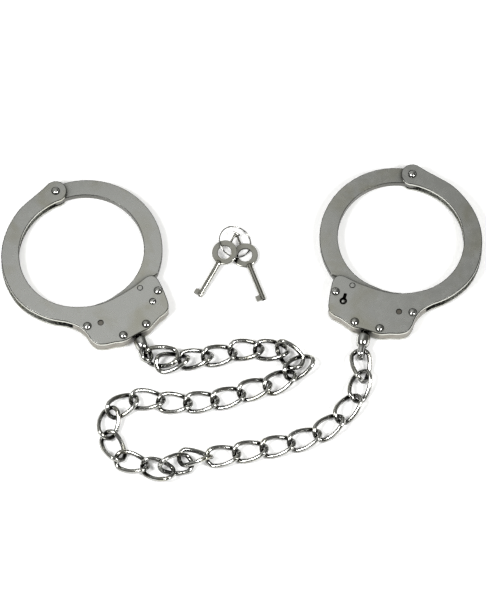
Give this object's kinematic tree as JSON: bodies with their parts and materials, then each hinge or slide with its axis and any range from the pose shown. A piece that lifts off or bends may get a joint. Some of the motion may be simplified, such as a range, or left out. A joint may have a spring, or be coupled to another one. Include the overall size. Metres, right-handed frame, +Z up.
{
  "type": "pair of long-chain handcuffs",
  "caption": "Pair of ratchet cuffs with toothed swing-through arms, riveted lock bodies and turning swivels, joined by a long twisted-link chain, with barrel keys on a wire ring.",
  "frame": {"origin": "middle of the bounding box at its base, on the surface that the cuffs lie on", "axes": "+X from the left cuff towards the right cuff, +Y from the chain towards the hinges, +Z up out of the table, square to the flat side plates"},
  "size_m": [0.313, 0.2212, 0.0132],
  "materials": {
    "satin_nickel": "satin nickel plate with faint warm mottling",
    "polished_nickel": "bright nickel plate",
    "link_nickel": "bright nickel plate, slightly worn",
    "lock_steel": "plain machined steel",
    "key_nickel": "tumbled nickel plate"
  },
  "bodies": {
    "left_cuff": {"left_cheek_front": "satin_nickel", "left_cheek_back": "satin_nickel", "left_lock_frame": "lock_steel", "left_hinge_rivet": "polished_nickel", "left_body_rivet_a": "polished_nickel", "left_body_rivet_b": "polished_nickel", "left_body_rivet_c": "polished_nickel", "left_body_rivet_d": "polished_nickel", "left_key_post": "lock_steel", "left_pawl_spring": "lock_steel"},
    "left_arm": {"left_arm": "satin_nickel"},
    "left_pawl": {"left_pawl": "lock_steel"},
    "left_lock_bar": {"left_lock_bar": "lock_steel"},
    "left_swivel": {"left_swivel": "polished_nickel"},
    "right_cuff": {"right_cheek_front": "satin_nickel", "right_cheek_back": "satin_nickel", "right_lock_frame": "lock_steel", "right_hinge_rivet": "polished_nickel", "right_body_rivet_a": "polished_nickel", "right_body_rivet_b": "polished_nickel", "right_body_rivet_c": "polished_nickel", "right_body_rivet_d": "polished_nickel", "right_key_post": "lock_steel", "right_pawl_spring": "lock_steel"},
    "right_arm": {"right_arm": "satin_nickel"},
    "right_pawl": {"right_pawl": "lock_steel"},
    "right_lock_bar": {"right_lock_bar": "lock_steel"},
    "right_swivel": {"right_swivel": "polished_nickel"},
    "link_01": {"link_01": "link_nickel"},
    "link_02": {"link_02": "link_nickel"},
    "link_03": {"link_03": "link_nickel"},
    "link_04": {"link_04": "link_nickel"},
    "link_05": {"link_05": "link_nickel"},
    "link_06": {"link_06": "link_nickel"},
    "link_07": {"link_07": "link_nickel"},
    "link_08": {"link_08": "link_nickel"},
    "link_09": {"link_09": "link_nickel"},
    "link_10": {"link_10": "link_nickel"},
    "link_11": {"link_11": "link_nickel"},
    "link_12": {"link_12": "link_nickel"},
    "link_13": {"link_13": "link_nickel"},
    "link_14": {"link_14": "link_nickel"},
    "link_15": {"link_15": "link_nickel"},
    "link_16": {"link_16": "link_nickel"},
    "link_17": {"link_17": "link_nickel"},
    "link_18": {"link_18": "link_nickel"},
    "link_19": {"link_19": "link_nickel"},
    "link_20": {"link_20": "link_nickel"},
    "link_21": {"link_21": "link_nickel"},
    "link_22": {"link_22": "link_nickel"},
    "link_23": {"link_23": "link_nickel"},
    "link_24": {"link_24": "link_nickel"},
    "link_25": {"link_25": "link_nickel"},
    "link_26": {"link_26": "link_nickel"},
    "link_27": {"link_27": "link_nickel"},
    "link_28": {"link_28": "link_nickel"},
    "link_29": {"link_29": "link_nickel"},
    "key_ring": {"key_ring": "polished_nickel"},
    "key_a": {"key_a": "key_nickel"},
    "key_b": {"key_b": "key_nickel"}
  },
  "joints": [
    {"name": "left_arm_swing", "type": "hinge", "parent": "left_cuff", "child": "left_arm", "pos_m": [-0.12133, 0.09123, 0.0066], "axis": [0, 0, -1], "continuous": true},
    {"name": "left_pawl_rock", "type": "hinge", "parent": "left_cuff", "child": "left_pawl", "pos_m": [-0.09149, -0.00196, 0.0066], "axis": [0, 0, -1], "range_deg": [-3.2, 0.3]},
    {"name": "left_lock_bar_slide", "type": "slide", "parent": "left_cuff", "child": "left_lock_bar", "axis": [0.8926, 0.4509, 0], "range_m": [0, 0.0018]},
    {"name": "right_arm_swing", "type": "hinge", "parent": "right_cuff", "child": "right_arm", "pos_m": [0.11127, 0.10323, 0.0066], "axis": [0, 0, 1], "continuous": true},
    {"name": "right_pawl_rock", "type": "hinge", "parent": "right_cuff", "child": "right_pawl", "pos_m": [0.10197, 0.00583, 0.0066], "axis": [0, 0, 1], "range_deg": [-3.2, 0.3]},
    {"name": "right_lock_bar_slide", "type": "slide", "parent": "right_cuff", "child": "right_lock_bar", "axis": [-0.9681, 0.2504, 0], "range_m": [0, 0.0018]},
    {"name": "left_swivel_turn", "type": "hinge", "parent": "left_cuff", "child": "left_swivel", "pos_m": [-0.06927, -0.00295, 0.0066], "axis": [0.3518, -0.9361, 0], "continuous": true},
    {"name": "right_swivel_turn", "type": "hinge", "parent": "right_swivel", "child": "right_cuff", "pos_m": [0.08047, 0.00013, 0.0066], "axis": [0.1444, 0.9895, 0], "range_deg": [-90, 90]},
    {"name": "key_ring_lift", "type": "slide", "parent": "left_cuff", "child": "key_ring", "axis": [0, 0, 1], "range_m": [0, 0.06]},
    {"name": "key_a_slide_round", "type": "hinge", "parent": "key_ring", "child": "key_a", "pos_m": [-0.00443, 0.05833, 0.00435], "axis": [0.342, 0, 0.9397], "range_deg": [-60, 0]},
    {"name": "key_b_slide_round", "type": "hinge", "parent": "key_ring", "child": "key_b", "pos_m": [-0.00443, 0.05833, 0.00435], "axis": [0.342, 0, 0.9397], "range_deg": [0, 60]},
    {"name": "chain_joint_01", "type": "hinge", "parent": "left_swivel", "child": "link_01", "pos_m": [-0.06146, -0.02464, 0.00586], "axis": [0, 0, 1], "range_deg": [-25, 11]},
    {"name": "chain_joint_02", "type": "hinge", "parent": "link_01", "child": "link_02", "pos_m": [-0.03816, -0.02388, 0.00662], "axis": [0.2924, -0.9563, 0], "range_deg": [-15, 1]},
    {"name": "chain_joint_03", "type": "hinge", "parent": "link_02", "child": "link_03", "pos_m": [-0.04039, -0.02536, 0.00337], "axis": [0, 0, 1], "range_deg": [-7, 17]},
    {"name": "chain_joint_04", "type": "hinge", "parent": "link_03", "child": "link_04", "pos_m": [-0.02217, -0.02291, 0.00477], "axis": [0.1736, -0.9848, 0], "range_deg": [-34, 34]},
    {"name": "chain_joint_05", "type": "hinge", "parent": "link_04", "child": "link_05", "pos_m": [-0.00595, -0.01907, 0.0045], "axis": [0, 0, 1], "range_deg": [-15, 23]},
    {"name": "chain_joint_06", "type": "hinge", "parent": "link_05", "child": "link_06", "pos_m": [0.01102, -0.01751, 0.00445], "axis": [0.0349, 0.9994, 0], "range_deg": [-34, 34]},
    {"name": "chain_joint_07", "type": "hinge", "parent": "link_06", "child": "link_07", "pos_m": [0.02657, -0.01635, 0.00563], "axis": [0, 0, 1], "range_deg": [-7, 33]},
    {"name": "chain_joint_08", "type": "hinge", "parent": "link_07", "child": "link_08", "pos_m": [0.04152, -0.02679, 0.00559], "axis": [0.4353, -0.5572, -0.7071], "range_deg": [-34, 3]},
    {"name": "chain_joint_09", "type": "hinge", "parent": "link_08", "child": "link_09", "pos_m": [0.03124, -0.03592, 0.00587], "axis": [0, 0, -1], "range_deg": [-17, 7]},
    {"name": "chain_joint_10", "type": "hinge", "parent": "link_09", "child": "link_10", "pos_m": [0.01685, -0.04357, 0.00456], "axis": [-0.3256, 0.9455, 0], "range_deg": [-17, 34]},
    {"name": "chain_joint_11", "type": "hinge", "parent": "link_10", "child": "link_11", "pos_m": [-0.00015, -0.04849, 0.0044], "axis": [0, 0, 1], "range_deg": [-13, 25]},
    {"name": "chain_joint_12", "type": "hinge", "parent": "link_11", "child": "link_12", "pos_m": [-0.01721, -0.0536, 0.0043], "axis": [-0.1219, 0.9925, 0], "range_deg": [-34, 34]},
    {"name": "chain_joint_13", "type": "hinge", "parent": "link_12", "child": "link_13", "pos_m": [-0.03474, -0.05561, 0.00435], "axis": [0, 0, -1], "range_deg": [-25, 27]},
    {"name": "chain_joint_14", "type": "hinge", "parent": "link_13", "child": "link_14", "pos_m": [-0.05233, -0.05402, 0.00455], "axis": [0.0349, 0.9994, 0], "range_deg": [-15, 34]},
    {"name": "chain_joint_15", "type": "hinge", "parent": "link_14", "child": "link_15", "pos_m": [-0.07009, -0.05175, 0.00446], "axis": [0, 0, 1], "range_deg": [-34, 17]},
    {"name": "chain_joint_16", "type": "hinge", "parent": "link_15", "child": "link_16", "pos_m": [-0.08539, -0.06054, 0.00494], "axis": [-0.9848, 0.1736, 0], "range_deg": [-23, 34]},
    {"name": "chain_joint_17", "type": "hinge", "parent": "link_16", "child": "link_17", "pos_m": [-0.08799, -0.07808, 0.00486], "axis": [0, 0, 1], "range_deg": [-34, 11]},
    {"name": "chain_joint_18", "type": "hinge", "parent": "link_17", "child": "link_18", "pos_m": [-0.07972, -0.09452, 0.00464], "axis": [0.2924, 0.9563, 0], "range_deg": [-34, 13]},
    {"name": "chain_joint_19", "type": "hinge", "parent": "link_18", "child": "link_19", "pos_m": [-0.06238, -0.09931, 0.00482], "axis": [0, 0, 1], "range_deg": [-34, 13]},
    {"name": "chain_joint_20", "type": "hinge", "parent": "link_19", "child": "link_20", "pos_m": [-0.04842, -0.10311, 0.00719], "axis": [0.1736, -0.9848, 0], "range_deg": [-34, 5]},
    {"name": "chain_joint_21", "type": "hinge", "parent": "link_20", "child": "link_21", "pos_m": [-0.0364, -0.09464, 0.00335], "axis": [0, 0, -1], "range_deg": [-15, 34]},
    {"name": "chain_joint_22", "type": "hinge", "parent": "link_21", "child": "link_22", "pos_m": [-0.02107, -0.09393, 0.00579], "axis": [-0.1736, 0.9848, 0], "range_deg": [-13, 34]},
    {"name": "chain_joint_23", "type": "hinge", "parent": "link_22", "child": "link_23", "pos_m": [-0.00326, -0.09056, 0.00475], "axis": [0, 0, -1], "range_deg": [-17, 23]},
    {"name": "chain_joint_24", "type": "hinge", "parent": "link_23", "child": "link_24", "pos_m": [0.01446, -0.08716, 0.00456], "axis": [-0.225, 0.9744, 0], "range_deg": [-34, 29]},
    {"name": "chain_joint_25", "type": "hinge", "parent": "link_24", "child": "link_25", "pos_m": [0.03221, -0.08351, 0.0045], "axis": [0, 0, -1], "range_deg": [-19, 17]},
    {"name": "chain_joint_26", "type": "hinge", "parent": "link_25", "child": "link_26", "pos_m": [0.04908, -0.07712, 0.00436], "axis": [0.6157, -0.788, 0], "range_deg": [-29, 34]},
    {"name": "chain_joint_27", "type": "hinge", "parent": "link_26", "child": "link_27", "pos_m": [0.06329, -0.0662, 0.00454], "axis": [0, 0, 1], "range_deg": [-19, 21]},
    {"name": "chain_joint_28", "type": "hinge", "parent": "link_27", "child": "link_28", "pos_m": [0.07425, -0.05187, 0.0044], "axis": [-0.9563, 0.2924, 0], "range_deg": [-34, 34]},
    {"name": "chain_joint_29", "type": "hinge", "parent": "link_28", "child": "link_29", "pos_m": [0.07876, -0.03669, 0.00511], "axis": [0, 0, -1], "range_deg": [-17, 34]},
    {"name": "chain_joint_30", "type": "hinge", "parent": "link_29", "child": "right_swivel", "pos_m": [0.07664, -0.02191, 0.00649], "axis": [-0.9895, 0.1444, 0], "range_deg": [-17, 15]}
  ]
}
